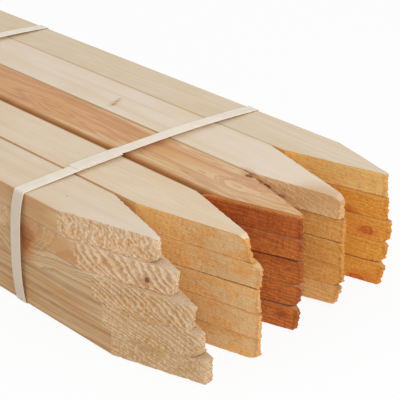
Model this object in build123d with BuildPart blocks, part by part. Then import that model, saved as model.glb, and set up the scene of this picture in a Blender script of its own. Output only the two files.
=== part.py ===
from build123d import *
import os

os.makedirs("parts", exist_ok=True)

# A strapped bundle of pointed survey stakes: five layers of five flat sawn stakes, their
# points towards -Y, tied by two plastic straps. Lengths are in millimetres. Layers are
# counted from the top and columns from the left, as seen from the points' end. The origin
# is under the middle of the bundle, on the surface that the straps' undersides lie on.

# One stake, sawn from softwood board
stake_width = 50.8
stake_thickness = 19.05
stake_length = 610.0
point_length = 84.0
tip_width = 8.0
arris_chamfer = 0.5
wane_width = 6.5
wane_depth = 4.5

# The stack
stake_gap = 0.35
stagger = 56.6

# The straps, flat polypropylene band with its two ends lapped and welded on top
strap_width = 12.7
strap_thickness = 0.7
strap_clearance = 0.3
strap_corner_radius = 1.2
strap_rise = 3.6
strap_side_bow = 4.0
front_strap_setback = 185.3
rear_strap_setback = 483.3
lap_length = 45.0
lap_offset = 1.3

# Each column's stakes were cut a little wide or narrow of the nominal width.
column_width_shares = [1.0, 0.98, 1.063, 1.035, 0.913]

# How far each point stands back from the foremost one, as shares of the stagger.
# In this table and the two after it a row is a layer and a place in the row a column.
setback_shares = [
    [1.0, 0.25, 0.23, 0.24, 0.31],
    [0.68, 0.07, 0.19, 0.2, 0.25],
    [0.33, 0.06, 0.2, 0.19, 0.18],
    [0.18, 0.0, 0.19, 0.19, 0.21],
    [0.08, 0.04, 0.2, 0.24, 0.25],
]

# How far each point lies right of its stake's middle, as shares of the stake's width.
tip_aside_shares = [
    [0.02, -0.01, 0.03, -0.11, 0.07],
    [0.03, 0.02, 0.01, -0.08, 0.03],
    [-0.02, 0.0, 0.04, -0.09, 0.05],
    [0.01, -0.03, 0.02, -0.06, 0.04],
    [0.04, 0.01, 0.0, -0.07, 0.02],
]

# How wide each blunt point is, as shares of the widest.
tip_width_shares = [
    [0.45, 0.4, 0.35, 0.7, 0.4],
    [0.5, 0.45, 0.4, 0.5, 0.45],
    [0.55, 0.35, 0.45, 0.55, 0.5],
    [0.7, 0.45, 0.4, 0.45, 0.4],
    [1.0, 0.5, 0.5, 0.5, 0.6],
]

# How long each column's two bevels are, and how that runs through the layers, as shares
# of the point's length.
left_bevel_shares = [1.0, 1.15, 0.98, 0.97, 1.03]
right_bevel_shares = [0.94, 0.98, 0.98, 1.26, 0.82]
layer_bevel_shares = [1.0, 1.0, 0.99, 0.95, 0.9]

# Where a strap's top run stands highest and where its lap lies, as shares of the way across
# the bundle, and where its sides stand out furthest, as a share of the way up.
crown_share = 0.62
lap_middle_share = 0.3
belly_share = 0.62

layers = len(setback_shares)
columns = len(column_width_shares)
bundle_length = stake_length + stagger
bundle_front = -bundle_length / 2
column_widths = [share * stake_width for share in column_width_shares]
stack_width = sum(column_widths) + (columns - 1) * stake_gap
stack_height = layers * stake_thickness + (layers - 1) * stake_gap
stack_bottom = strap_thickness + strap_clearance
stack_top = stack_bottom + stack_height

# The stakes. Each is a board with its front end cut to a blunt point by two bevels and
# its long arrises eased. The top stake of the middle column came from the log's outside,
# so its upper left arris is missing: that wane is a wide slanting face instead.
waney_stake = "stake_layer1_column3"
for layer in range(layers):
    board_bottom = stack_top - (layer + 1) * stake_thickness - layer * stake_gap
    left_side = -stack_width / 2
    for column in range(columns):
        name = f"stake_layer{layer + 1}_column{column + 1}"
        width = column_widths[column]
        right_side = left_side + width
        tip_y = bundle_front + setback_shares[layer][column] * stagger
        tip_x = (left_side + right_side) / 2 + tip_aside_shares[layer][column] * width
        half_tip = tip_width_shares[layer][column] * tip_width / 2
        bevel_length = layer_bevel_shares[layer] * point_length
        left_start = tip_y + left_bevel_shares[column] * bevel_length
        right_start = tip_y + right_bevel_shares[column] * bevel_length
        head_y = tip_y + stake_length

        with BuildPart() as stake:
            with BuildSketch(Plane.XY.offset(board_bottom)):
                with BuildLine():
                    Polyline(
                        (tip_x - half_tip, tip_y),
                        (tip_x + half_tip, tip_y),
                        (right_side, right_start),
                        (right_side, head_y),
                        (left_side, head_y),
                        (left_side, left_start),
                        close=True,
                    )
                make_face()
            extrude(amount=stake_thickness)
            if name == waney_stake:
                upper_edges = stake.edges().filter_by(Axis.Y).group_by(Axis.Z)[-1]
                upper_left = upper_edges.sort_by(Axis.X)[0]
                left_face = stake.faces().filter_by(Axis.X).sort_by(Axis.X)[0]
                chamfer(upper_left, length=wane_depth, length2=wane_width, reference=left_face)
            long_edges = stake.edges().filter_by(Axis.Y).group_by(Axis.Z)
            arrises = long_edges[0] + long_edges[-1].sort_by(Axis.X)
            if name == waney_stake:
                arrises = long_edges[0] + long_edges[-1].sort_by(Axis.X)[1:]
            chamfer(arrises, length=arris_chamfer)
        stake.part.label = name
        export_step(stake.part, f"parts/{name}.step")
        left_side = right_side + stake_gap

# The outer face of a strap, as an outline seen from the points' end. The band is stiff, so
# only its underside lies flat. Its top run bows up off the boards, highest at the crown,
# and its two sides bow out, furthest at the bellies. It is held at the stack's four corners.
strap_half_width = stack_width / 2 + strap_clearance + strap_thickness
shoulder_height = stack_top + strap_clearance + strap_thickness
left_foot = (-strap_half_width, 0)
right_foot = (strap_half_width, 0)
left_shoulder = (-strap_half_width, shoulder_height)
right_shoulder = (strap_half_width, shoulder_height)
belly_height = belly_share * shoulder_height
left_belly = (-strap_half_width - strap_side_bow, belly_height)
right_belly = (strap_half_width + strap_side_bow, belly_height)
crown_x = (2 * crown_share - 1) * strap_half_width
crown = (crown_x, shoulder_height + strap_rise)
lap_x = (2 * lap_middle_share - 1) * strap_half_width

with BuildSketch() as strap_outline:
    with BuildLine():
        Line(left_foot, right_foot)
        TangentArc(right_belly, right_foot, tangent=(0, -1))
        TangentArc(right_belly, right_shoulder, tangent=(0, 1))
        TangentArc(crown, right_shoulder, tangent=(1, 0))
        TangentArc(crown, left_shoulder, tangent=(-1, 0))
        TangentArc(left_belly, left_shoulder, tangent=(0, 1))
        TangentArc(left_belly, left_foot, tangent=(0, -1))
    make_face()

# The band between its outer and inner faces, bent round at the two feet and two shoulders.
with BuildSketch() as strap_opening:
    add(strap_outline.sketch)
    offset(amount=-strap_thickness)
    by_height = strap_opening.vertices().sort_by(Axis.Y)
    fillet(by_height[:2] + by_height[4:6], radius=strap_corner_radius)

with BuildSketch() as strap_section:
    add(strap_outline.sketch)
    by_height = strap_section.vertices().sort_by(Axis.Y)
    fillet(by_height[:2] + by_height[4:6], radius=strap_corner_radius + strap_thickness)
    add(strap_opening.sketch, mode=Mode.SUBTRACT)

# The two straps. One band goes once round the stack, and its outer end lies on top of the
# inner one and a little to the rear, where the two are welded.
for name, setback in (
    ("front_strap", front_strap_setback),
    ("rear_strap", rear_strap_setback),
):
    strap_y = bundle_front + setback
    with BuildPart() as strap:
        with BuildSketch(Plane.XZ.offset(-strap_y)):
            add(strap_section.sketch)
        extrude(amount=strap_width / 2, both=True)
        with BuildSketch(Plane.XZ.offset(-(strap_y + lap_offset))):
            add(strap_outline.sketch)
            offset(amount=strap_thickness)
            add(strap_outline.sketch, mode=Mode.SUBTRACT)
            with Locations((lap_x, shoulder_height + strap_rise / 2)):
                Rectangle(lap_length, 2 * strap_rise + 4 * strap_thickness, mode=Mode.INTERSECT)
        extrude(amount=strap_width / 2, both=True)
    strap.part.label = name
    export_step(strap.part, f"parts/{name}.step")

print(f"stack {stack_width:.2f} wide, {bundle_length:.2f} long, {stack_height:.2f} high")
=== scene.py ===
import math

import bpy
import numpy as np
from mathutils import Matrix, Vector, noise


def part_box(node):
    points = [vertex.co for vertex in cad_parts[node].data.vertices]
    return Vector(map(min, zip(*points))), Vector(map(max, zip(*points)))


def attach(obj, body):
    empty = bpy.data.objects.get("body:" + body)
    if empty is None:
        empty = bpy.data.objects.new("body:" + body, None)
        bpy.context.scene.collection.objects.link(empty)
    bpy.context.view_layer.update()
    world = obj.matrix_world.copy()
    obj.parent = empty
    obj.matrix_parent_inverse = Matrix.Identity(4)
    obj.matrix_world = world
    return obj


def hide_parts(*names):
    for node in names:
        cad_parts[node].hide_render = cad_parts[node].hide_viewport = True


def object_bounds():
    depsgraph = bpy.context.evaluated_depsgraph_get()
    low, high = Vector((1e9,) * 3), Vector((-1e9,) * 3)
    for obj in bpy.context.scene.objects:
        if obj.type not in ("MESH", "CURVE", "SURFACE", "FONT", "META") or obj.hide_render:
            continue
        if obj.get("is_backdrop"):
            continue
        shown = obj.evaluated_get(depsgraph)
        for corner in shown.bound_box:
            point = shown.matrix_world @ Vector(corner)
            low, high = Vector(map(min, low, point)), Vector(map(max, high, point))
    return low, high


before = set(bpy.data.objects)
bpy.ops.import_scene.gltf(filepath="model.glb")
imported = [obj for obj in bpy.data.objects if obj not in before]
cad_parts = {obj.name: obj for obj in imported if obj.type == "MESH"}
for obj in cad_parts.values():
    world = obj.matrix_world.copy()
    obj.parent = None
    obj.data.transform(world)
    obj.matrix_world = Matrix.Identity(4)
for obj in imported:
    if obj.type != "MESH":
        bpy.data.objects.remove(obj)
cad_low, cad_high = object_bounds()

# The stakes. Each is a flat board of air-dried softwood, ripped and planed, with two rough saw
# cuts that meet in a blunt, splintered point, and a plain sawn head. Only the straps' squeeze
# and its neighbours hold it. Lengths here are in millimetres.
layers = 5
columns = 5

# How far the lower edge of each stake's point lies behind its upper edge, by layer and column.
tip_leans = [
    [-1.6, -8.0, -1.6, -0.4, -1.4],
    [3.6, 2.0, 2.2, 0.0, -0.5],
    [4.4, -2.0, -1.6, -1.1, 0.2],
    [0.3, -0.8, 4.6, -1.1, 2.9],
    [0.2, -0.5, 3.0, 5.6, 4.6],
]

# How much of each blunt point's upper and lower corner has broken away.
unworn = (0.0, 0.0)
worn_tips = {
    "stake_layer1_column1": (1.2, 3.6),
    "stake_layer4_column1": (0.0, 3.4),
    "stake_layer1_column2": (2.4, 0.5),
    "stake_layer2_column2": (3.6, 0.0),
    "stake_layer5_column2": (0.0, 3.0),
    "stake_layer3_column3": (0.0, 1.8),
    "stake_layer4_column3": (2.6, 1.0),
    "stake_layer5_column3": (2.0, 0.0),
    "stake_layer1_column4": (2.6, 0.0),
    "stake_layer4_column4": (0.0, 4.0),
    "stake_layer3_column5": (0.0, 2.6),
    "stake_layer4_column5": (2.6, 2.4),
    "stake_layer5_column5": (2.6, 0.0),
}

# How far the seam under a stake gapes at its point. Below 0 it is pressed shut there.
seams = {
    "stake_layer1_column2": -0.12,
    "stake_layer2_column2": 0.9,
    "stake_layer3_column2": -0.12,
    "stake_layer1_column3": -0.12,
    "stake_layer2_column3": 2.3,
    "stake_layer4_column3": 0.9,
    "stake_layer1_column4": 1.0,
    "stake_layer2_column4": 0.5,
    "stake_layer5_column4": 2.6,
    "stake_layer4_column5": 0.7,
}

# The radii to which each column's left and right long arrises are eased.
arris_radii = [(0.8, 0.8), (0.7, 0.3), (0.3, 0.8), (0.8, 0.25), (0.25, 0.8)]

# The top stake of the middle column has a strip of the log's outside, its wane, along its left
# edge. The strip's width at the point and at the head is a share of the wane's.
waney_stake = "stake_layer1_column3"
wane_width = 6.5
wane_depth = 4.5
wane_shares = (0.8, 1.05)
ripple_size = 5.0
ripple_height = 0.5

# How the growth rings lie in each board: 0 stands them upright across its width and 90 lays
# them flat, in degrees.
ring_tilts = [
    [7, 66, 74, 24, 72],
    [10, 74, 68, 70, 66],
    [18, 70, 72, 64, 60],
    [33, 62, 80, 76, 70],
    [39, 76, 64, 68, 74],
]


def tone(red, green, blue):
    """A colour chip's own numbers, 0 to 255, as the linear colour that a shader takes."""
    chip = [value / 255 for value in (red, green, blue)]
    linear = [v / 12.92 if v < 0.04045 else ((v + 0.055) / 1.055) ** 2.4 for v in chip]
    return (*linear, 1.0)


# The looks of the wood, from pale sapwood to red heartwood. A broad face is a planed top or
# underside, an edge is a planed narrow side, and a sawn face is a bevel of the point. Late
# wood is the dark part of a growth ring. Numbers that aren't lengths are strengths.
pale = {
    "slot": "pale_softwood",
    "pith_distance": 150.0,
    "ring_spacing": 1.1,
    "sway": 10.0,
    "wobble": 6.0,
    "broad": tone(222, 206, 185),
    "broad_warm": tone(220, 199, 170),
    "broad_streak": tone(214, 187, 150),
    "broad_late": tone(200, 170, 132),
    "streaks": 0.35,
    "broad_rings": 0.14,
    "rim": tone(204, 166, 120),
    "rim_strength": 0.5,
    # Painted shade of the seams between columns, on the left and right arrises.
    "arrises": (0.0, 0.9),
    "heart": None,
    "wane_width": 0.0,
    "edge": tone(216, 181, 142),
    "edge_warm": tone(207, 165, 114),
    "edge_stain": tone(210, 160, 116),
    "edge_late": tone(150, 106, 60),
    "edge_rings": 0.5,
    "apex": 0.0,
    "ledge": 0.85,
    # Painted shade on the bared ledges, which face up.
    "ledge_painted_shade": 0.0,
    "sawn": tone(220, 188, 152),
    "sawn_warm": tone(214, 172, 124),
    # The deep tone, far from the point, is partly painted light: lighter on the inner columns'
    # bevels in the V.
    "sawn_deep_tone_and_painted_light": tone(212, 176, 134),
    "sawn_late": tone(160, 116, 72),
    "sawn_pale": tone(230, 208, 176),
    "deep_from": 60.0,
    "deep_to": 90.0,
    "ridge_spacing": 1.9,
    "tear": 0.6,
    "ridges": 0.75,
    "strokes": 0.15,
    "pits": 0.3,
    "fringe": 0.4,
    "tip_fringe": 0.5,
    # Painted shade on the point's end faces.
    "tip_painted_shade": 0.0,
    "crest": 0.15,
    "crest_depth": 2.0,
    "fuzz_depth": 0.3,
    "ridge_depth": 0.3,
    "chips": 1.6,
    "torn_edge": 3.0,
    "head": tone(214, 186, 142),
    "head_late": tone(166, 120, 74),
}
grainy = {
    "ring_spacing": 2.8,
    "edge_rings": 0.3,
    "ridge_spacing": 1.8,
    "tear": 1.8,
    "ridges": 0.45,
    "strokes": 0.7,
    "sawn_late": tone(158, 112, 72),
    "fringe": 0.6,
    "fuzz_depth": 0.5,
}
ridged = {
    "ring_spacing": 2.4,
    "edge_rings": 0.4,
    "sawn": tone(224, 194, 162),
    "sawn_warm": tone(216, 178, 136),
    "ridge_spacing": 2.3,
    "tear": 1.1,
    "ridges": 0.66,
    "ridge_depth": 0.35,
}
wavy = {
    "ring_spacing": 2.2,
    "edge": tone(210, 178, 138),
    "edge_warm": tone(202, 162, 114),
    "sawn": tone(211, 179, 141),
    "sawn_warm": tone(205, 165, 118),
}
lined = {
    "ring_spacing": 2.5,
    "edge": tone(206, 172, 130),
    "edge_warm": tone(197, 156, 107),
    "sawn": tone(206, 174, 134),
    "sawn_warm": tone(198, 158, 111),
    "ridge_spacing": 2.1,
    "ridges": 0.54,
}
plain_lined = {
    "sawn": tone(201, 169, 130),
    "sawn_warm": tone(193, 154, 108),
    "ridges": 0.36,
    "torn_edge": 0.4,
}
smooth_sawn = pale | {
    "ledge": 0.95,
    # Painted shade on the bared ledges and on the point's end faces.
    "ledge_painted_shade": 0.5,
    "tip_fringe": 0.0,
    "tip_painted_shade": 0.35,
    "ridge_depth": 0.1,
}
honey = smooth_sawn | {
    "slot": "honey_softwood",
    "ring_spacing": 1.3,
    "broad": tone(224, 206, 180),
    "broad_warm": tone(222, 198, 166),
    "broad_streak": tone(216, 186, 148),
    "arrises": (0.8, 0.5),
    "edge": tone(226, 182, 126),
    "edge_warm": tone(220, 168, 106),
    "edge_stain": tone(214, 156, 92),
    "apex": 0.85,
    "sawn": tone(215, 178, 128),
    "sawn_warm": tone(217, 161, 95),
    "sawn_deep_tone_and_painted_light": tone(250, 200, 124),
    "sawn_late": tone(186, 124, 64),
    "sawn_pale": tone(222, 190, 142),
    "deep_from": 30.0,
    "deep_to": 85.0,
    "tear": 1.8,
    "ridges": 0.2,
    "strokes": 0.35,
    "fringe": 0.35,
    "chips": 0.6,
    "torn_edge": 0.5,
}
light_honey = {"sawn": tone(224, 188, 136), "sawn_warm": tone(228, 174, 106)}
red = smooth_sawn | {
    "slot": "red_softwood",
    "ring_spacing": 2.2,
    "pith_distance": 95.0,
    "arrises": (0.0, 0.7),
    "edge": tone(212, 158, 106),
    "edge_warm": tone(204, 142, 88),
    "apex": 0.9,
    "sawn": tone(198, 116, 56),
    "sawn_warm": tone(180, 99, 45),
    "sawn_deep_tone_and_painted_light": tone(214, 118, 52),
    "sawn_late": tone(120, 58, 24),
    "sawn_pale": tone(206, 132, 76),
    "ridge_spacing": 2.8,
    "tear": 1.2,
    "ridges": 0.4,
    "strokes": 0.5,
    "fringe": 0.3,
    "fuzz_depth": 0.24,
    "chips": 0.7,
    "torn_edge": 0.4,
    "head": tone(190, 130, 84),
    "head_late": tone(140, 84, 46),
}
rusty = {
    "sawn": tone(202, 122, 62),
    "sawn_warm": tone(192, 110, 52),
    "sawn_deep_tone_and_painted_light": tone(206, 126, 66),
}
waney = {
    "broad": tone(220, 188, 146),
    "broad_warm": tone(217, 180, 132),
    "broad_streak": tone(196, 150, 106),
    "streaks": 0.5,
    "ring_spacing": 3.0,
    "wobble": 12.0,
    "broad_rings": 0.55,
    "broad_late": tone(184, 130, 90),
    "heart": tone(213, 163, 118),
    "heart_warm": tone(210, 158, 107),
    "heart_streak": tone(195, 139, 97),
    "wane_width": 1.25 * wane_width,
    "wane_light": tone(192, 138, 84),
    "wane_middle": tone(150, 92, 44),
    # The wane's outer side: partly the bark's own dark colour, partly painted shade of the seam.
    "wane_bark_and_shadow": tone(88, 46, 18),
    "sawn": tone(184, 99, 46),
    "sawn_warm": tone(168, 84, 35),
    "sawn_deep_tone_and_painted_light": tone(206, 92, 40),
    "sawn_pale": tone(210, 140, 80),
    "fringe": 0.15,
    "crest": 0.8,
    "crest_depth": 4.0,
}
tan = smooth_sawn | {
    "slot": "tan_softwood",
    "ring_spacing": 1.6,
    "pith_distance": 110.0,
    "broad": tone(229, 214, 194),
    "broad_warm": tone(226, 208, 182),
    "rim_strength": 0.2,
    "arrises": (0.7, 0.15),
    "edge": tone(226, 184, 132),
    "edge_warm": tone(220, 172, 112),
    "apex": 0.85,
    "sawn": tone(222, 164, 86),
    "sawn_warm": tone(218, 156, 74),
    "sawn_deep_tone_and_painted_light": tone(228, 164, 84),
    "sawn_late": tone(174, 112, 50),
    "sawn_pale": tone(230, 186, 124),
    "ridge_spacing": 2.4,
    "tear": 1.2,
    "ridges": 0.3,
    "strokes": 0.3,
    "chips": 0.6,
    "torn_edge": 0.4,
}
swirled = {
    "sawn": tone(228, 189, 134),
    "sawn_warm": tone(223, 177, 116),
    "sawn_deep_tone_and_painted_light": tone(252, 212, 152),
    "deep_from": 20.0,
    "deep_to": 75.0,
    "sawn_late": tone(190, 144, 102),
    "sawn_pale": tone(238, 210, 172),
    "ridge_spacing": 1.8,
}
light_tan = {"sawn": tone(230, 178, 112), "sawn_warm": tone(224, 170, 102)}
golden = smooth_sawn | {
    "slot": "golden_softwood",
    "ring_spacing": 1.8,
    "pith_distance": 100.0,
    "broad": tone(222, 206, 182),
    "broad_warm": tone(220, 201, 172),
    "broad_rings": 0.2,
    "rim_strength": 0.2,
    "arrises": (0.15, 0.0),
    "edge": tone(224, 178, 112),
    "edge_warm": tone(218, 166, 92),
    "apex": 0.85,
    "sawn": tone(226, 162, 70),
    "sawn_warm": tone(222, 152, 60),
    "sawn_deep_tone_and_painted_light": tone(226, 156, 64),
    "sawn_late": tone(180, 112, 40),
    "sawn_pale": tone(230, 180, 104),
    "ridge_spacing": 2.6,
    "tear": 1.2,
    "ridges": 0.4,
    "strokes": 0.25,
    "fuzz_depth": 0.24,
    "chips": 0.6,
    "torn_edge": 0.4,
}
straw = {
    "sawn": tone(226, 188, 118),
    "sawn_warm": tone(226, 181, 108),
    "sawn_deep_tone_and_painted_light": tone(248, 196, 108),
    "ridges": 0.15,
}
stake_looks = [
    [pale | grainy, honey, red | waney, tan | swirled, golden | straw],
    [pale | ridged, honey, red, tan, golden],
    [pale | wavy, honey | light_honey, red, tan, golden],
    [pale | lined, honey | light_honey, red, tan, golden],
    [pale | lined | plain_lined, honey | light_honey, red | rusty, tan | light_tan, golden],
]

# Knots and stains, and a row of flecks of painted shadow, by the stake that they are in. Their
# places are the bundle's own.
round_knot = (1.0, 1.0, 1.0)
dark_knot = tone(112, 70, 42)
warm_knot = tone(178, 118, 66)
brown = tone(120, 78, 48)
rust = tone(190, 122, 62)


def knot(at, size, weights=round_knot, core=1.0, halo=0.6, rings=1.0, swell=0.0, reach=20.0,
         dark=dark_knot, warm=warm_knot):
    """A dark, ringed core with a warm halo. It is longer along an axis whose weight is less.
    Growth rings within its reach swell round it."""
    return {
        "at": at,
        "size": size,
        "weights": weights,
        "core": core,
        "halo": halo,
        "rings": rings,
        "swell": swell,
        "reach": reach,
        "dark": dark,
        "warm": warm,
    }


def stain(at, size, weights, halo, warm):
    """A warm patch with no knot in it."""
    return knot(at, size, weights, core=0.0, halo=halo, warm=warm)


def swirl(at, size, weights, swell, reach):
    """Growth rings that swell round a knot deeper in the board."""
    return knot(at, size, weights, core=0.0, halo=0.0, swell=swell, reach=reach)


stake_knots = {
    "stake_layer1_column1": [
        knot((-106.2, -178.2, 97.6), 0.9, halo=0.4,
             dark=tone(184, 160, 132), warm=tone(206, 184, 156)),
    ],
    "stake_layer2_column1": [
        knot((-127.5, -153.5, 62.5), 9.5, (1.0, 0.8, 0.8), core=0.8, halo=0.55, rings=0.4,
             swell=9.0, reach=44.0, dark=tone(170, 108, 62)),
        stain((-127.5, -198.0, 66.0), 6.0, (1.0, 0.6, 0.8), 0.55, tone(200, 142, 88)),
        knot((-109.2, -272.3, 65.2), 2.5, dark=tone(92, 58, 34), warm=tone(160, 112, 70)),
    ],
    "stake_layer3_column1": [
        knot((-127.5, -152.0, 58.0), 7.0, (1.0, 0.9, 0.6), core=0.7, halo=0.7, rings=0.4,
             swell=8.0, reach=36.0, dark=tone(158, 96, 44), warm=rust),
        swirl((-127.5, -190.0, 60.0), 4.0, (1.0, 0.5, 1.0), 5.0, 26.0),
    ],
    "stake_layer1_column3": [
        swirl((2.0, -252.0, 97.6), 2.0, (1.0, 0.35, 1.0), 9.0, 13.0),
        swirl((7.0, -285.0, 97.6), 2.0, (1.0, 0.4, 1.0), 8.0, 11.0),
        knot((22.8, -244.6, 97.2), 2.6, (1.0, 0.45, 1.0), rings=0.3,
             dark=tone(92, 52, 28), warm=tone(186, 132, 88)),
        knot((20.9, -260.2, 96.8), 2.0, (1.0, 0.4, 1.0), halo=0.5,
             dark=brown, warm=tone(190, 138, 92)),
    ],
    "stake_layer3_column3": [
        knot((-12.0, -283.0, 50.0), 3.4, (1.0, 0.6, 1.2), core=0.6, halo=0.5,
             swell=2.0, reach=12.0, dark=tone(110, 52, 26), warm=tone(150, 78, 38)),
    ],
    "stake_layer5_column3": [
        knot((-5.0, -310.0, 12.0), 3.0, (1.0, 0.7, 1.2), core=0.6, halo=0.5,
             dark=tone(116, 56, 28), warm=tone(150, 78, 38)),
    ],
    "stake_layer1_column4": [
        stain((42.5, -307.0, 97.6), 8.0, (1.0, 0.5, 1.0), 0.7, tone(204, 160, 110)),
        knot((42.0, -59.0, 97.6), 2.3, (0.55, 1.0, 1.0), halo=0.5,
             dark=tone(150, 114, 72), warm=tone(198, 168, 128)),
        knot((48.5, -55.5, 97.6), 1.9, (0.5, 1.0, 1.0), halo=0.5,
             dark=tone(164, 130, 88), warm=tone(202, 174, 136)),
        knot((54.0, -52.5, 97.6), 1.4, (0.5, 1.0, 1.0), halo=0.4,
             dark=tone(186, 154, 114), warm=tone(206, 180, 144)),
        # The row of dark flecks down the left bevel, beside the middle column's edge, is painted
        # shadow.
        knot((28.2, -237.0, 95.5), 3.2, (1.0, 0.5, 1.0),
             dark=tone(104, 62, 34), warm=tone(190, 136, 90)),
        knot((30.2, -247.5, 92.0), 2.2, (1.0, 0.5, 1.2), halo=0.5,
             dark=brown, warm=tone(196, 144, 98)),
        knot((32.0, -256.0, 90.0), 2.6, (1.0, 0.5, 1.2), halo=0.5,
             dark=tone(132, 84, 50), warm=tone(196, 144, 98)),
        knot((35.1, -269.0, 85.5), 1.9, (1.0, 0.4, 1.3), halo=0.5,
             dark=tone(164, 116, 76), warm=tone(200, 150, 104)),
    ],
    "stake_layer2_column5": [
        stain((95.6, -288.0, 57.5), 5.0, (1.0, 0.7, 1.0), 0.75, tone(190, 94, 38)),
    ],
    "stake_layer3_column5": [
        knot((99.5, -304.4, 46.9), 7.5, (1.0, 0.8, 1.4), core=0.8, halo=0.45, rings=0.5,
             swell=4.0, reach=24.0, dark=tone(168, 80, 32), warm=tone(212, 128, 56)),
    ],
    "stake_layer5_column5": [
        knot((97.4, -299.6, 2.0), 4.5, (1.0, 0.4, 1.0), core=0.8,
             dark=tone(158, 70, 32), warm=tone(204, 112, 48)),
        stain((101.6, -315.0, 5.0), 5.0, (1.0, 0.6, 0.9), 0.45, tone(200, 112, 48)),
    ],
}


class Link:
    """An output socket of a material's nodes. Sums written with it add Math nodes."""

    def __init__(self, tree, socket=None):
        self.tree = tree
        self.socket = socket

    def add(self, kind, settings=None, sockets=None, output=0):
        """One node: its settings are set first, then its sockets get values or links."""
        node = self.tree.nodes.new("ShaderNode" + kind)
        for name, value in (settings or {}).items():
            setattr(node, name, value)
        for name, value in (sockets or {}).items():
            if isinstance(value, Link):
                self.tree.links.new(value.socket, node.inputs[name])
            else:
                node.inputs[name].default_value = value
        return Link(self.tree, node.outputs[output] if len(node.outputs) else None)

    def sum(self, operation, *values):
        return self.add("Math", {"operation": operation}, dict(enumerate(values)))

    def vector(self, operation, *values, output="Vector"):
        return self.add("VectorMath", {"operation": operation}, dict(enumerate(values)), output)

    def __add__(self, other):
        return self.sum("ADD", self, other)

    def __radd__(self, other):
        return self.sum("ADD", other, self)

    def __sub__(self, other):
        return self.sum("SUBTRACT", self, other)

    def __rsub__(self, other):
        return self.sum("SUBTRACT", other, self)

    def __mul__(self, other):
        return self.sum("MULTIPLY", self, other)

    def __rmul__(self, other):
        return self.sum("MULTIPLY", other, self)

    def __truediv__(self, other):
        return self.sum("DIVIDE", self, other)

    def unsigned(self):
        return self.sum("ABSOLUTE", self)

    def at_most(self, limit):
        return self.sum("MINIMUM", self, limit)

    def fraction(self):
        return self.sum("FRACT", self)

    def parts(self):
        """The x, y and z of a vector."""
        return [self.add("SeparateXYZ", {}, {"Vector": self}, axis) for axis in "XYZ"]

    def length(self):
        return self.vector("LENGTH", self, output="Value")

    def step(self, low, high):
        """0 at low and 1 at high, with a smooth change between. Low may be the greater one."""
        return self.add(
            "MapRange",
            {"interpolation_type": "SMOOTHSTEP"},
            {"Value": self, "From Min": low, "From Max": high},
        )

    def cloud(self, weights, seed, detail=2.0):
        """Soft random lumps from 0 to 1, each 1 / weight long along x, y and z."""
        moved = self.vector("MULTIPLY_ADD", self, weights, (seed, 1.7 * seed, 2.3 * seed))
        return self.add("TexNoise", {}, {"Vector": moved, "Scale": 1.0, "Detail": detail})

    def blend(self, first, second):
        """The first colour where this mask is 0 and the second where it is 1."""
        return self.add("Mix", {"data_type": "RGBA"}, {0: self, 6: first, 7: second}, output=2)


def new_material(name):
    material = bpy.data.materials.new(name)
    material.use_nodes = True
    material.node_tree.nodes.clear()
    return material, Link(material.node_tree)


def object_places(start, moved=(0.0, 0.0, 0.0)):
    """Where each point of the surface lies, in millimetres."""
    metres = start.add("TexCoord", output="Object")
    return metres.vector("MULTIPLY_ADD", metres, (1000.0, 1000.0, 1000.0), moved)


class Board:
    """The places in one stake, in millimetres from its middle or its sides, and the soft clouds
    that its colours are mixed by: long ones for planed faces, short ones for rough cuts."""

    def __init__(self, start, low, high, seed):
        self.middle = [(a + b) / 2 for a, b in zip(low, high)]
        half_width = (high[0] - low[0]) / 2
        at = object_places(start, tuple(-value for value in self.middle))
        self.at = at
        self.across, along, above = at.parts()
        self.from_tip = along - (low[1] - self.middle[1])
        self.from_left = self.across + half_width
        self.from_right = 2 * half_width - self.from_left
        self.to_side = half_width - self.across.unsigned()
        self.from_top = (high[2] - self.middle[2]) - above
        self.fibre = at.cloud((1.6, 0.03, 1.6), seed + 11, 2.0)
        self.mottle = at.cloud((0.045, 0.013, 0.06), seed + 13, 3.0)
        self.streak = at.cloud((0.16, 0.0045, 0.16), seed + 17, 3.0)
        self.stain = at.cloud((0.08, 0.05, 0.12), seed + 37, 2.0)
        self.fuzz = at.cloud((0.5, 0.5, 0.4), seed + 19, 4.0)
        self.strokes = at.cloud((0.0, 0.45, 0.08), seed + 23, 3.0)
        self.tear = at.cloud((0.12, 0.12, 0.2), seed + 29, 3.0)
        self.patchy = at.cloud((0.07, 0.05, 0.09), seed + 31, 2.0)


def knot_distances(board, knots, seed):
    """How far each point lies from the middle of each knot, in the knot's own ragged shape."""
    distances = []
    for spot in knots:
        middle = tuple(a - b for a, b in zip(spot["at"], board.middle))
        away = board.at.vector("SUBTRACT", board.at, middle)
        away = away.vector("MULTIPLY", away, spot["weights"])
        ragged = (board.at.cloud((0.3, 0.3, 0.3), seed + 5) - 0.5) * 0.8 * spot["size"]
        distances.append(away.length() + ragged)
    return distances


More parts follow.
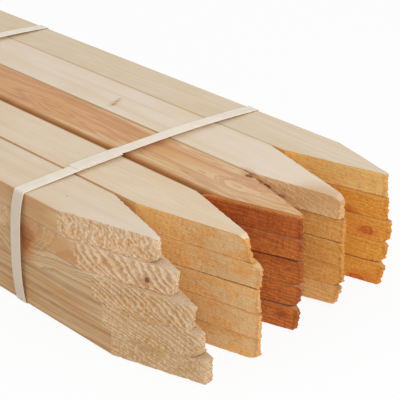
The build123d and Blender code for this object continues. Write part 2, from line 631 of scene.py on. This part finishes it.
def growth_rings(start, board, look, tilt, knots, distances, seed):
    """The late wood of the rings round the log's pith, and the ridges that it leaves in the
    torn wood of a saw cut. The rings sway along the log and swell round each knot."""
    angle = math.radians(tilt)
    pith_distance = look["pith_distance"]
    pith = (pith_distance * math.cos(angle), 0.0, pith_distance * math.sin(angle))
    radius = board.at.vector("MULTIPLY_ADD", board.at, (1.0, 0.0, 1.0), pith).length()
    radius = radius + (board.at.cloud((0.0, 0.004, 0.0), seed, 1.0) - 0.5) * look["sway"]
    radius = radius + (board.at.cloud((0.07, 0.008, 0.07), seed + 3) - 0.5) * look["wobble"]
    for spot, distance in zip(knots, distances):
        if spot["swell"]:
            radius = radius + distance.step(spot["reach"], 0.0) * spot["swell"]
    years = {"W": radius * 0.13, "Scale": 1.0}
    uneven = start.add("TexNoise", {"noise_dimensions": "1D"}, years) * 4.0
    phase = (radius / look["ring_spacing"] + uneven).fraction()
    late = phase.step(0.2, 0.75) * (1 - phase.step(0.8, 1.0)) * (0.3 + 1.3 * board.patchy)
    torn = radius / look["ridge_spacing"] + 0.3 * uneven + (board.tear - 0.5) * look["tear"]
    torn = torn.fraction()
    ridge = torn.step(0.15, 0.65) * (1 - torn.step(0.75, 1.0)) * (0.5 + 0.9 * board.patchy)
    return late, ridge


def heartwood(board, look, broad):
    """The heart's darker band, between the wane and the right edge. It fades out towards the
    point, where the sapwood on both sides of it grows wider."""
    sap = board.from_tip.step(300.0, 100.0)
    sway = board.streak - 0.5
    from_wane = board.from_left - look["wane_width"] - 1.0 - 18.0 * sap + sway * 18.0
    from_right = board.from_right - 0.5 - 9.0 * sap + sway * 8.0
    inside = from_wane.step(-3.0, 4.0) * from_right.step(-2.0, 3.0)
    colour = board.mottle.step(0.35, 0.65).blend(look["heart"], look["heart_warm"])
    colour = (board.streak.step(0.5, 0.66) * 0.7).blend(colour, look["heart_streak"])
    return (inside * (0.35 + 0.65 * board.from_tip.step(50.0, 190.0))).blend(broad, colour)


def wane(board, look, broad):
    """The strip of the log's outside along the left edge, darkest at its outer side, partly the
    bark's own colour and partly painted shade of the seam beside it.
    """
    ramp = board.from_left / look["wane_width"] + (board.stain - 0.5) * 0.25
    colour = ramp.step(0.0, 0.45).blend(look["wane_bark_and_shadow"], look["wane_middle"])
    colour = ramp.step(0.4, 0.95).blend(colour, look["wane_light"])
    return ramp.step(1.1, 0.85).blend(broad, colour)


def broad_face(board, look, late):
    """A planed top or underside, warmer at its rims and darkest on its arrises, which is painted
    shade of the seams between columns.
    """
    colour = board.mottle.step(0.35, 0.65).blend(look["broad"], look["broad_warm"])
    colour = (board.streak.step(0.48, 0.72) * look["streaks"]).blend(colour, look["broad_streak"])
    if look["heart"]:
        colour = heartwood(board, look, colour)
    colour = (late * look["broad_rings"]).blend(colour, look["broad_late"])
    colour = (board.fibre.step(0.55, 0.8) * 0.25).blend(colour, look["broad_late"])
    rim = (board.to_side + (board.stain - 0.5) * 5.0).step(3.0, 0.0)
    colour = (rim * look["rim_strength"]).blend(colour, look["rim"])
    # Painted shade of the seams between columns, on the arrises that the look names.
    left, right = look["arrises"]
    arris = board.from_left.step(1.5, 0.4) * left + board.from_right.step(1.5, 0.4) * right
    colour = arris.blend(colour, look["edge_late"])
    return wane(board, look, colour) if look["wane_width"] else colour


def narrow_edge(board, look, late):
    """A planed side. On the left it takes the bevel's deep tone just behind the point, which
    holds painted light in the V between columns.
    """
    colour = board.mottle.step(0.35, 0.65).blend(look["edge"], look["edge_warm"])
    colour = (board.stain.step(0.5, 0.75) * 0.5).blend(colour, look["edge_stain"])
    # Partly painted light: the bevel's deep tone carried onto the planed side in the V.
    apex = board.from_tip.step(165.0, 120.0) * board.across.step(2.0, -2.0) * look["apex"]
    colour = apex.blend(colour, look["sawn_deep_tone_and_painted_light"])
    colour = (late * look["edge_rings"]).blend(colour, look["edge_late"])
    return (board.fibre.step(0.5, 0.8) * 0.25).blend(colour, look["edge_late"])


def sawn_bevel(board, look, ridge):
    """A rough saw cut of the point, with dark ridges, saw strokes and pits, and with pale torn
    fibres, most of all at the point's end and along the bevel's upper edge. Far from the point it
    takes a deep tone, partly painted light in the V between columns, and the point's end and the
    bared ledges get painted shade."""
    blotch = (board.stain * 0.6 + board.mottle * 0.4).step(0.4, 0.6)
    colour = blotch.blend(look["sawn"], look["sawn_warm"])
    # Far from the point, partly painted light: the deep tone lifts the bevels in the V between
    # columns.
    deep = (board.from_tip + (board.fuzz - 0.5) * 16).step(look["deep_from"], look["deep_to"])
    colour = deep.blend(colour, look["sawn_deep_tone_and_painted_light"])
    strokes = board.strokes.step(0.54, 0.74) * look["strokes"]
    pits = board.fuzz.step(0.46, 0.32) * look["pits"]
    for dark in (ridge * look["ridges"], strokes, pits):
        colour = dark.blend(colour, look["sawn_late"])
    fringe = board.fuzz.step(0.5, 0.66) + board.from_tip.step(5.0, 0.5) * look["tip_fringe"]
    colour = (fringe.at_most(1.0) * look["fringe"]).blend(colour, look["sawn_pale"])
    # Painted shade on the point's end faces.
    end = board.from_tip.step(4.0, 1.0) * look["tip_painted_shade"]
    colour = end.blend(colour, look["sawn_late"])
    depth = look["crest_depth"]
    crest = (board.from_top + (board.fuzz - 0.5) * 1.4 * depth).step(depth, 0.3 * depth)
    colour = (crest * look["crest"]).blend(colour, look["sawn_pale"])
    # Painted shade: the bared ledges, which face up, are darkened towards the late-wood tone.
    return (board.from_top.step(0.3, 0.1) * look["ledge_painted_shade"]).blend(colour, look["sawn_late"])


def sawn_head(board, look, late):
    """The far end's plain saw cut, with the growth rings as arcs."""
    colour = (late * 0.8).blend(look["head"], look["head_late"])
    return (board.fuzz.step(0.5, 0.75) * 0.4).blend(colour, look["head_late"])


def with_knots(colour, knots, distances):
    for spot, distance in zip(knots, distances):
        size = spot["size"]
        halo = distance.step(2.4 * size, 0.5 * size) * spot["halo"]
        core = distance.step(size, 0.5 * size) * spot["core"]
        ringed = (distance * 2.2 / size).fraction().step(0.1, 0.9) * spot["rings"]
        colour = halo.blend(colour, spot["warm"])
        colour = core.blend(colour, ringed.blend(spot["dark"], spot["warm"]))
    return colour


def softwood(name, look, low, high, tilt, seed, knots):
    """One stake's material. Its mesh says how far each face is planed edge, bevel or head."""
    material, start = new_material(name)
    board = Board(start, low, high, seed)
    distances = knot_distances(board, knots, seed)
    late, ridge = growth_rings(start, board, look, tilt, knots, distances, seed)
    cut = start.add("Attribute", {"attribute_name": "cut"}, output="Vector")
    edge, sawn, head = cut.parts()
    colour = edge.blend(broad_face(board, look, late), narrow_edge(board, look, late))
    colour = sawn.blend(colour, sawn_bevel(board, look, ridge))
    colour = head.blend(colour, sawn_head(board, look, late))
    colour = with_knots(colour, knots, distances)

    planed_relief = late * 0.02 + board.fibre * 0.03
    sawn_relief = board.fuzz * look["fuzz_depth"] + board.strokes * 0.15
    sawn_relief = sawn_relief + ridge * look["ridge_depth"]
    relief = planed_relief + (sawn + head * 0.5) * sawn_relief
    normal = start.add("Bump", {}, {"Strength": 1.0, "Distance": 0.001, "Height": relief})
    sockets = {
        "Base Color": colour,
        "Roughness": 0.56 + 0.12 * board.fibre + 0.3 * (sawn + head).at_most(1.0),
        "Normal": normal,
        "Specular IOR Level": 0.2,
    }
    shader = start.add("BsdfPrincipled", {}, sockets)
    start.add("OutputMaterial", {}, {"Surface": shader})
    return material


# Each stake's mesh is a grid over its six sides. Its cells are shorter along the point and at
# the head than along the planed part, and narrowest at the arrises.
sawn_cell = 1.0
planed_cell = 16.0
fine_cell = 3.0
head_cell = 0.5
fine_length = 12.0
head_rows = 1.5
half_shares = [0, 0.006, 0.014, 0.03, 0.06, 0.09, 0.13, 0.2, 0.3, 0.4, 0.5]
across_shares = np.array(half_shares + [1 - share for share in half_shares[-2::-1]])
low_shares = [0, 0.012, 0.03, 0.06]
middle_shares = [0.1 + 0.05 * i for i in range(17)]
up_shares = np.array(low_shares + middle_shares + [0.94, 0.97, 0.988, 1])
snap = 0.01

# The bevels: the lumps that the saw left, as their size and depth, the chips along the edges,
# the fringe of torn fibres along the lower edge, and how far it may stand out at the sides.
saw_bites = [(9.0, 0.28), (2.8, 0.2), (1.3, 0.12)]
saw_entry = 3.0
chip_size = 2.6
chip_reach = 0.8
fringe_size = 3.1
fringe_height = 2.6
most_proud = 0.1
sawn_arris = 0.2
sharp_edge = math.radians(16)

# The blunt end of a point, with splinters and finer slivers, and the head's rough cut.
splinter_size = 3.0
splinter_length = 1.8
sliver_size = 1.3
sliver_length = 1.1
splintered_length = 16.0
tip_inset = 0.3
narrowest_tip = 1.2
wear_length = 7.0
seam_length = 75.0
head_lump = 3.0
head_depth = 0.2

# The planed faces are a little bowed, and lie this far beyond the CAD stake's.
side_bow_size = 60.0
side_bow = 0.05
side_growth = 0.03
top_bow_size = 90.0
top_bow = 0.07
top_growth = 0.05
underside_growth = 0.07


def grit(first, second, size, seed):
    """A smooth random value, about -1 to 1, for each pair of places, in lumps of that size."""
    pairs = zip(first.ravel() / size, second.ravel() / size)
    values = [noise.noise((a, b, seed)) for a, b in pairs]
    return np.array(values).reshape(first.shape)


def fading(distance, length):
    """1 at the start and 0 beyond the length."""
    return np.clip(1 - distance / length, 0, 1)


def saw_marks(along, up, low, high, start, look, seed):
    """How deep the saw bit into a bevel, over its length and height."""
    depth = 0
    for number, (size, bite) in enumerate(saw_bites):
        depth = depth + bite * grit(along, up, size, seed + 20 * number)
    to_edge = np.minimum(up - low, high - up)
    chipped = np.clip(grit(along, up, chip_size, seed + 60) - 0.1, 0, 1)
    depth += look["chips"] * chipped * np.exp(-to_edge / chip_reach)
    torn = look["torn_edge"] * (1 + 0.7 * grit(along, up, fringe_size, seed + 90))
    depth -= torn * np.exp((low - up) / fringe_height)
    return (depth + 0.1) * np.clip((start - along) / saw_entry, 0, 1)


def stake_outline(node):
    """The CAD stake's two furthest corners, its point's two ends across, and the two places
    along it where its bevels start."""
    corners = np.array([vertex.co for vertex in node.data.vertices]) * 1000
    low, high = corners.min(0), corners.max(0)
    tip = corners[corners[:, 1] < low[1] + snap, 0]
    left_start = corners[corners[:, 0] < low[0] + snap, 1].min()
    right_start = corners[corners[:, 0] > high[0] - snap, 1].min()
    return low, high, (tip.min(), tip.max()), (left_start, right_start)


def stations(places, cells):
    """Places from each of the given ones to the next, a cell or less apart."""
    found = [places[0]]
    for start, end, size in zip(places, places[1:], cells):
        count = max(1, math.ceil((end - start) / size))
        found.extend(start + (end - start) * (i + 1) / count for i in range(count))
    return np.array(found)


def ragged_lengths(nominal, heights, low, tip, lean, seed):
    """Where the vertices lie along the stake: splintered at its point, rough at its head."""
    tip_places = tip[0] + across_shares * (tip[1] - tip[0])
    tip_x, tip_z = np.meshgrid(tip_places, heights, indexing="ij")
    splinters = splinter_length * grit(tip_z, 0.3 * tip_x, splinter_size, seed)
    splinters = splinters + sliver_length * grit(tip_z, tip_x, sliver_size, seed + 9)
    ragged = lean * (0.5 - up_shares)[None, :] + splinters + tip_inset
    near_end = fading(nominal - low[1], splintered_length) ** 1.5
    y = np.maximum(nominal + ragged[:, :, None] * near_end, 1000 * cad_low[1])
    head_marks = head_depth * grit(tip_x + 40, tip_z, head_lump, seed + 70) - head_depth / 2
    y[:, :, -1] += head_marks
    return y


def stake_sides(y, along, heights, low, high, tip, starts, look, seed):
    """How far left and right the stake reaches at each vertex."""
    up_grid, along_grid = np.meshgrid(heights, along, indexing="ij")
    growth = side_bow * grit(along_grid, up_grid, side_bow_size, seed + 30) + side_growth
    marks = []
    for number, start in enumerate(starts, 1):
        bitten = saw_marks(along_grid, up_grid, low[2], high[2], start, look, seed + number)
        marks.append(bitten - np.where(along_grid < start - snap, 0, growth))
    left = np.interp(y, [low[1], starts[0]], [tip[0], low[0]]) + marks[0]
    right = np.interp(y, [low[1], starts[1]], [tip[1], high[0]]) - marks[1]
    left, right = np.maximum(left, low[0] - most_proud), np.minimum(right, high[0] + most_proud)
    narrow = right - left < narrowest_tip
    middle = (left + right) / 2
    left = np.where(narrow, middle - narrowest_tip / 2, left)
    right = np.where(narrow, middle + narrowest_tip / 2, right)
    return left, right


def wane_drop(x, nominal, low, high, seed):
    """How far the wane lies below the top, and the ripples that the bark left in it."""
    widths = [share * wane_width for share in wane_shares]
    inset = fading(x - low[0], np.interp(nominal, [low[1], high[1]], widths))
    ripples = ripple_height * grit(nominal, x, ripple_size, seed + 80)
    return wane_depth * (0.7 * inset + 0.3 * inset**2), ripples * np.clip(4 * inset, 0, 1)


def stake_faces(name, x, nominal, low, high, worn, seam, seed):
    """How high the underside and the top lie at each vertex."""
    near_tip = fading(nominal - low[1], wear_length) ** 1.5
    bow = top_bow * grit(nominal, x, top_bow_size, seed + 50)
    top = high[2] + top_growth - bow - worn[0] * near_tip
    if name == waney_stake:
        drop, ripples = wane_drop(x, nominal, low, high, seed)
        top = top - drop + ripples
    gaping = seam * fading(nominal - low[1], seam_length)
    bottom = low[2] - underside_growth + worn[1] * near_tip + gaping
    return bottom, top


def eased(x, y, z, left, right, bottom, top, radius):
    """The vertices in metres, with every edge of the board rounded to that radius."""
    front, rear = y[:, :, :1], y[:, :, -1:]
    pushes = []
    for place, near, far in ((x, left, right), (y, front, rear), (z, bottom, top)):
        inward = np.clip(radius - (place - near), 0, None)
        outward = np.clip(radius - (far - place), 0, None)
        pushes.append(inward - outward)
    push_x, push_y, push_z = pushes
    reach = np.maximum(np.sqrt(push_x**2 + push_y**2 + push_z**2), radius)
    pull = 1 - radius / reach
    return np.stack([x + push_x * pull, y + push_y * pull, z + push_z * pull], axis=-1) / 1000


# How a face is cut, as shares of planed edge, sawn bevel and sawn head. A broad face has none
# of these, but near the point it is rough too, apart from the bundle's own top.
planed_edge, bevel, sawn_end = np.eye(3)
arris_cells = 2
bared_length = 30.0
bared_most = 0.9
tip_clear = 9.0
tip_fade = 14.0


def broad_cut(bared, left_sawn, right_sawn):
    """A broad face's cut: partly sawn where it is bared, and sawn on the bevels' arrises."""
    cut = np.zeros((len(across_shares) - 1, len(bared), 3))
    cut[:, :, 1] = bared
    cut[:arris_cells, left_sawn] = bevel
    cut[-arris_cells:, right_sawn] = bevel
    return cut


def side_cuts(name, along, low, starts, look):
    """The cuts of the left, right, lower, upper, front and rear side."""
    cells = along[:-1]
    left_sawn, right_sawn = (cells < start - snap for start in starts)
    bared = np.clip((max(starts) - cells) / bared_length, 0, bared_most)
    bared *= np.clip((cells - low[1] - tip_clear) / tip_fade, look["ledge"], 1)
    bared_above = 0 * bared if name.startswith("stake_layer1") else bared
    return [
        np.where(left_sawn[None, :, None], bevel, planed_edge),
        np.where(right_sawn[None, :, None], bevel, planed_edge),
        broad_cut(bared, left_sawn, right_sawn),
        broad_cut(bared_above, left_sawn, right_sawn),
        bevel,
        sawn_end,
    ]


def side_quads(index, flip):
    """The four corners of every cell of one side's grid of vertex numbers."""
    corners = [index[:-1, :-1], index[1:, :-1], index[1:, 1:], index[:-1, 1:]]
    if flip:
        corners.reverse()
    return np.stack(corners, axis=-1).reshape(-1, 4)


def stake_mesh(name, place, cuts):
    """The grid's six sides as one closed mesh that knows how each face is cut."""
    outside = np.zeros(place.shape[:3], bool)
    for axis in range(3):
        np.moveaxis(outside, axis, 0)[[0, -1]] = True
    index = np.full(outside.shape, -1)
    index[outside] = np.arange(outside.sum())
    sides = [
        (index[0], False),
        (index[-1], True),
        (index[:, 0], True),
        (index[:, -1], False),
        (index[:, :, 0], False),
        (index[:, :, -1], True),
    ]
    faces = np.concatenate([side_quads(grid, flip) for grid, flip in sides])
    shares = []
    for (grid, flip), cut in zip(sides, cuts):
        cells = (grid.shape[0] - 1, grid.shape[1] - 1, 3)
        shares.append(np.broadcast_to(cut, cells).reshape(-1, 3))

    mesh = bpy.data.meshes.new(name)
    mesh.from_pydata(place[outside].tolist(), [], faces.tolist())
    mesh.attributes.new("cut", "FLOAT_VECTOR", "FACE")
    mesh.attributes["cut"].data.foreach_set("vector", np.concatenate(shares).ravel())
    mesh.shade_smooth()
    mesh.set_sharp_from_angle(angle=sharp_edge)
    mesh.update()
    return mesh


def put_in_scene(name, data):
    """A new object with that mesh, lamp or camera."""
    thing = bpy.data.objects.new(name, data)
    bpy.context.scene.collection.objects.link(thing)
    return thing


def stake_piece(name, lean, worn, seam, look, radii, seed):
    """One stake, on the CAD node's own outline."""
    low, high, tip, starts = stake_outline(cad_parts[name])
    first, second = sorted(starts)
    places = [low[1], first, second, second + fine_length]
    places += [high[1] - fine_length, high[1] - head_rows, high[1]]
    cells = [sawn_cell, sawn_cell, fine_cell, planed_cell, fine_cell, head_cell]
    along = stations(places, cells)
    heights = low[2] + up_shares * (high[2] - low[2])
    wide, high_up, nominal = np.meshgrid(across_shares, up_shares, along, indexing="ij")

    y = ragged_lengths(nominal, heights, low, tip, lean, seed)
    left, right = stake_sides(y, along, heights, low, high, tip, starts, look, seed)
    x = left + wide * (right - left)
    bottom, top = stake_faces(name, x, nominal, low, high, worn, seam, seed)
    z = bottom + high_up * (top - bottom)
    sides = zip(starts, radii)
    left_radius, right_radius = (np.where(nominal < s, sawn_arris, r) for s, r in sides)
    radius = np.where(wide < 0.5, left_radius, right_radius)
    radius = np.minimum(radius, (right - left) / 4)
    place = eased(x, y, z, left, right, bottom, top, radius)
    mesh = stake_mesh(name + "_wood", place, side_cuts(name, along, low, starts, look))
    return put_in_scene(name + "_wood", mesh)


for layer in range(layers):
    for column in range(columns):
        name = f"stake_layer{layer + 1}_column{column + 1}"
        seed = 10.0 + 7 * layer + 41 * column
        look = stake_looks[layer][column]
        low, high = (1000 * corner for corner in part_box(name))
        lean, radii = tip_leans[layer][column], arris_radii[column]
        worn, seam = worn_tips.get(name, unworn), seams.get(name, 0.0)
        piece = stake_piece(name, lean, worn, seam, look, radii, seed)
        tilt, knots = ring_tilts[layer][column], stake_knots.get(name, [])
        wood = softwood(name + "_grain", look, low, high, tilt, seed, knots)
        piece.data.materials.append(wood)
        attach(piece, name)
        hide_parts(name)

# The two straps. Each is one length of embossed white plastic band, pulled round the stack and
# welded to itself on top, a little askew. It springs up off the boards between the shoulders
# and stands out at both sides.
strap_width = 11.8
strap_thickness = 0.7
strap_rise = 3.6
strap_side_bow = 4.0
crown_share = 0.62
belly_share = 0.62
bend_radius = 1.9
band_cell = 2.0
band_edge = 0.25
band_rim = 1.5
band_crown = 0.02
sharp_bend = math.radians(35)

# The lap on top. The outer end comes back over the inner one from the right, climbs onto it,
# and drifts rearward as it comes.
lap_middle_share = 0.3
lap_length = 45.0
lap_offset = 1.3
lap_climb = 5.0
lap_gap = 0.02
return_length = 190.0
drift_length = 130.0

# The left side strays rearward on its way down, and back again under the bundle.
strap_shift = 0.2
left_stray = 3.2
stray_tail = 60.0

# The band's tones, and how far from the bundle's middle the painted shade of its two sides
# begins.
band_white = tone(244, 229, 209)
band_cream = tone(240, 223, 200)
band_painted_shade = tone(210, 192, 172)
band_scuff = tone(200, 184, 164)
sides_from, sides_to = 127.0, 130.0


def strap_material():
    """Milky plastic with a fine embossed lozenge pattern, greyer on the bundle's sides, which is
    painted shade.
    """
    material, start = new_material("strap_plastic")
    at = object_places(start)
    across, along = at.parts()[:2]
    run = start.add("Attribute", {"attribute_name": "run"}, output="Fac")
    emboss = run.sum("SINE", (run + along) * 3.2) * run.sum("SINE", (run - along) * 3.2)
    haze = at.cloud((0.12, 0.12, 0.12), 4.0, 3.0)
    scuffs = at.cloud((0.06, 1.2, 0.06), 9.0, 2.0)
    colour = haze.step(0.3, 0.7).blend(band_white, band_cream)
    # Painted shade: the band is greyer where it runs down the bundle's sides.
    painted_side_shade = across.unsigned().step(sides_from, sides_to)
    colour = (painted_side_shade * 0.8).blend(colour, band_painted_shade)
    colour = (scuffs.step(0.62, 0.8) * 0.3).blend(colour, band_scuff)
    relief = {"Strength": 0.6, "Distance": 0.0001, "Height": emboss + haze * 0.5}
    sockets = {
        "Base Color": colour,
        "Roughness": 0.4 + 0.14 * scuffs,
        "Normal": start.add("Bump", {}, relief),
        "Specular IOR Level": 0.35,
        "Subsurface Weight": 0.5,
        "Subsurface Radius": (0.003, 0.0027, 0.0022),
        "Subsurface Scale": 1.0,
    }
    shader = start.add("BsdfPrincipled", {}, sockets)
    start.add("OutputMaterial", {}, {"Surface": shader})
    return material


def arc_drop(distance, reach, rise):
    """How far an arc of that rise has dropped at a distance from its top."""
    radius = (reach**2 + rise**2) / (2 * rise)
    return radius - np.sqrt(radius**2 - distance**2)


def bend_corner(before, start, end, after):
    """Points on the bend between two runs of the band."""
    first, second = start - before, after - end
    first = first / np.linalg.norm(first)
    second = second / np.linalg.norm(second)
    gap = end - start
    across_first = first[0] * second[1] - first[1] * second[0]
    reach = (gap[0] * second[1] - gap[1] * second[0]) / across_first
    corner = start + first * reach
    shares = np.linspace(0, 1, 8)[1:-1, None]
    return (1 - shares) ** 2 * start + 2 * shares * (1 - shares) * corner + shares**2 * end


def strap_line(node):
    """The band's outer face seen from the points' end, from its inner end to its outer end,
    and the right end of its lap."""
    low, high = (1000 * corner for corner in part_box(node))
    half = (high.x - low.x) / 2 - strap_side_bow
    stack = [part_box(f"stake_layer{number}_column1") for number in (1, layers)]
    shoulder = 1000 * stack[0][1].z + 1000 * stack[1][0].z
    crown = (2 * crown_share - 1) * half
    belly = belly_share * shoulder
    lap_middle = (2 * lap_middle_share - 1) * half
    lap_left, lap_right = lap_middle - lap_length / 2, lap_middle + lap_length / 2

    def top(x):
        reach = np.where(x > crown, half - crown, half + crown)
        return shoulder + strap_rise - arc_drop(x - crown, reach, strap_rise)

    def side(z):
        reach = np.where(z > belly, shoulder - belly, belly)
        return half + strap_side_bow * (1 - np.abs((z - belly) / reach) ** 3)

    def spread(start, end):
        return np.linspace(start, end, max(2, round(abs(end - start) / band_cell)))

    left_run = spread(lap_right, -half + bend_radius)
    heights = spread(shoulder - bend_radius, bend_radius)
    under = spread(-half + bend_radius, half - bend_radius)
    right_run = spread(half - bend_radius, lap_left)
    runs = [
        np.stack([left_run, top(left_run)], axis=1),
        np.stack([-side(heights), heights], axis=1),
        np.stack([under, 0 * under], axis=1),
        np.stack([side(heights[::-1]), heights[::-1]], axis=1),
        np.stack([right_run, top(right_run)], axis=1),
    ]
    line = [runs[0]]
    for before, after in zip(runs, runs[1:]):
        line.append(bend_corner(before[-2], before[-1], after[0], after[1]))
        line.append(after)
    return np.concatenate(line), lap_right


def band_profile():
    """The band's cross-section, as places across it and above its outer face."""
    half = strap_width / 2
    left = [(-half, -strap_thickness / 2), (-half + band_edge, 0), (-half + band_rim, 0)]
    right = [(-aside, rise) for aside, rise in reversed(left)]
    inner = [(aside, -strap_thickness) for aside in (half - band_edge, 0, band_edge - half)]
    return left + [(0, band_crown)] + right + inner


def softened(share):
    """The same share from 0 to 1, with a gentle start and end."""
    return share * share * (3 - 2 * share)


def strap_course(line, run, lap_right):
    """How far the band is lifted onto its own lap and how far rearward it lies, at each point."""
    on_return = run > run[-1] - return_length
    climbed = np.clip((lap_right + lap_climb - line[:, 0]) / lap_climb, 0, 1)
    lift = softened(np.where(on_return, climbed, 0)) * (strap_thickness + lap_gap)
    drifted = np.clip((run - run[-1] + return_length) / drift_length, 0, 1)
    drift = softened(np.where(on_return, drifted, 0)) * lap_offset
    half_stack = 1000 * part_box("stake_layer1_column5")[1].x
    side_start = run[np.argmax(line[:, 0] < -half_stack)]
    side_share = np.clip((run - side_start) / (line[:, 1].max() + stray_tail), 0, 1)
    return lift, drift + left_stray * np.sin(np.pi * side_share)


def strap_piece(node, material):
    line, lap_right = strap_line(node)
    low, high = (1000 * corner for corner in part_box(node))
    middle = (low.y + high.y - lap_offset) / 2 + strap_shift
    steps = np.linalg.norm(np.diff(line, axis=0), axis=1)
    run = np.concatenate([[0], np.cumsum(steps)])
    heading = np.gradient(line, run, axis=0)
    heading /= np.linalg.norm(heading, axis=1)[:, None]
    outward = np.stack([heading[:, 1], -heading[:, 0]], axis=1)
    lift, shift = strap_course(line, run, lap_right)

    profile = band_profile()
    count = len(profile)
    vertices = []
    for i in range(len(line)):
        for aside, rise in profile:
            x, z = line[i] + outward[i] * (rise + lift[i])
            vertices.append((x / 1000, (middle + shift[i] + aside) / 1000, z / 1000))
    faces = []
    for i in range(len(line) - 1):
        for j in range(count):
            a, b = i * count + j, i * count + (j + 1) % count
            faces.append((a, b, b + count, a + count))
    faces.append(tuple(reversed(range(count))))
    faces.append(tuple(range((len(line) - 1) * count, len(line) * count)))
    mesh = bpy.data.meshes.new(node + "_band")
    mesh.from_pydata(vertices, [], faces)
    mesh.attributes.new("run", "FLOAT", "POINT")
    mesh.attributes["run"].data.foreach_set("value", np.repeat(run, count))
    mesh.materials.append(material)
    mesh.shade_smooth()
    mesh.set_sharp_from_angle(angle=sharp_bend)
    mesh.update()
    return put_in_scene(node + "_band", mesh)


white_plastic = strap_material()
for node in ("front_strap", "rear_strap"):
    band = strap_piece(node, white_plastic)
    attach(band, "strapping")
    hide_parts(node)

# The studio: a plain white floor, an even white surround, and three large soft lamps, high
# behind the bundle, to the left of its points and high in front of them. Lengths here are in
# metres.
floor_reach = 12.0
floor_glow = 0.9
ambient_strength = 0.63
paper_white = tone(247, 247, 247)
air_white = tone(250, 250, 252)
pure_white = tone(255, 255, 255)


def seen(start):
    """1 where the camera looks, directly or by way of gloss or glass, and 0 for the light."""
    rays = ("Is Camera Ray", "Is Glossy Ray", "Is Transmission Ray")
    camera_ray, gloss_ray, glass_ray = (start.add("LightPath", output=ray) for ray in rays)
    return camera_ray + gloss_ray + glass_ray


floor_mesh = bpy.data.meshes.new("floor")
floor_corners = [(-1, -1), (1, -1), (1, 1), (-1, 1)]
floor_places = [(floor_reach * x, floor_reach * y, 0) for x, y in floor_corners]
floor_mesh.from_pydata(floor_places, [], [(0, 1, 2, 3)])
floor = put_in_scene("floor", floor_mesh)
paper, start = new_material("floor_paper")
shade = start.add("BsdfDiffuse", {}, {"Color": paper_white})
glow = start.add("Emission", {}, {"Color": pure_white, "Strength": 1.0})
whitened = start.add("MixShader", {}, {0: seen(start) * floor_glow, 1: shade, 2: glow})
start.add("OutputMaterial", {}, {"Surface": whitened})
floor_mesh.materials.append(paper)
floor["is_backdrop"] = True

world = bpy.data.worlds.new("studio")
bpy.context.scene.world = world
world.use_nodes = True
world.node_tree.nodes.clear()
start = Link(world.node_tree)
ambient = start.add("Background", {}, {"Color": air_white, "Strength": ambient_strength})
surround = start.add("Background", {}, {"Color": pure_white, "Strength": 1.0})
mixed = start.add("MixShader", {}, {0: seen(start).at_most(1.0), 1: ambient, 2: surround})
start.add("OutputWorld", {}, {"Surface": mixed})


def lamp(name, place, aim, size, power):
    light = bpy.data.lights.new(name, "AREA")
    light.shape = "SQUARE"
    light.size = size
    light.energy = power
    stand = put_in_scene(name, light)
    stand.location = place
    direction = Vector(np.array(aim) - np.array(place))
    stand.rotation_euler = direction.to_track_quat("-Z", "Y").to_euler()


bundle_middle = (0.0, -0.1, 0.05)
bundle_points = (0.0, -0.2, 0.05)
lamp("rear_lamp", (0.3, 1.0, 1.9), bundle_middle, size=1.8, power=4.5)
lamp("side_lamp", (-1.25, -1.85, 0.8), bundle_middle, size=1.4, power=7.5)
lamp("front_lamp", (-0.3, -2.0, 1.5), bundle_points, size=1.4, power=23.5)

# The camera stands where the photograph's did, worked out from the bundle's straight edges. Its
# place is in metres and its turns are in radians.
camera_place = (-0.6713, -0.8998, 0.5354)
camera_yaw = 0.7743
camera_pitch = 0.4489
camera_roll = 0.0205
camera_data = bpy.data.cameras.new("camera")
camera_data.lens = 120.33
camera_data.sensor_width = 36.0
camera_data.clip_start = 0.01
camera = put_in_scene("camera", camera_data)
forward = np.array([
    math.sin(camera_yaw) * math.cos(camera_pitch),
    math.cos(camera_yaw) * math.cos(camera_pitch),
    -math.sin(camera_pitch),
])
level = np.cross(forward, (0, 0, 1))
level /= np.linalg.norm(level)
upright = np.cross(level, forward)
right = math.cos(camera_roll) * level + math.sin(camera_roll) * upright
above = math.cos(camera_roll) * upright - math.sin(camera_roll) * level
turns = zip(right, above, -forward)
rows = [[*turn, place] for turn, place in zip(turns, camera_place)]
camera.matrix_world = Matrix(rows + [[0, 0, 0, 1]])
bpy.context.scene.camera = camera
bpy.context.scene.view_settings.view_transform = "Standard"

low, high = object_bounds()
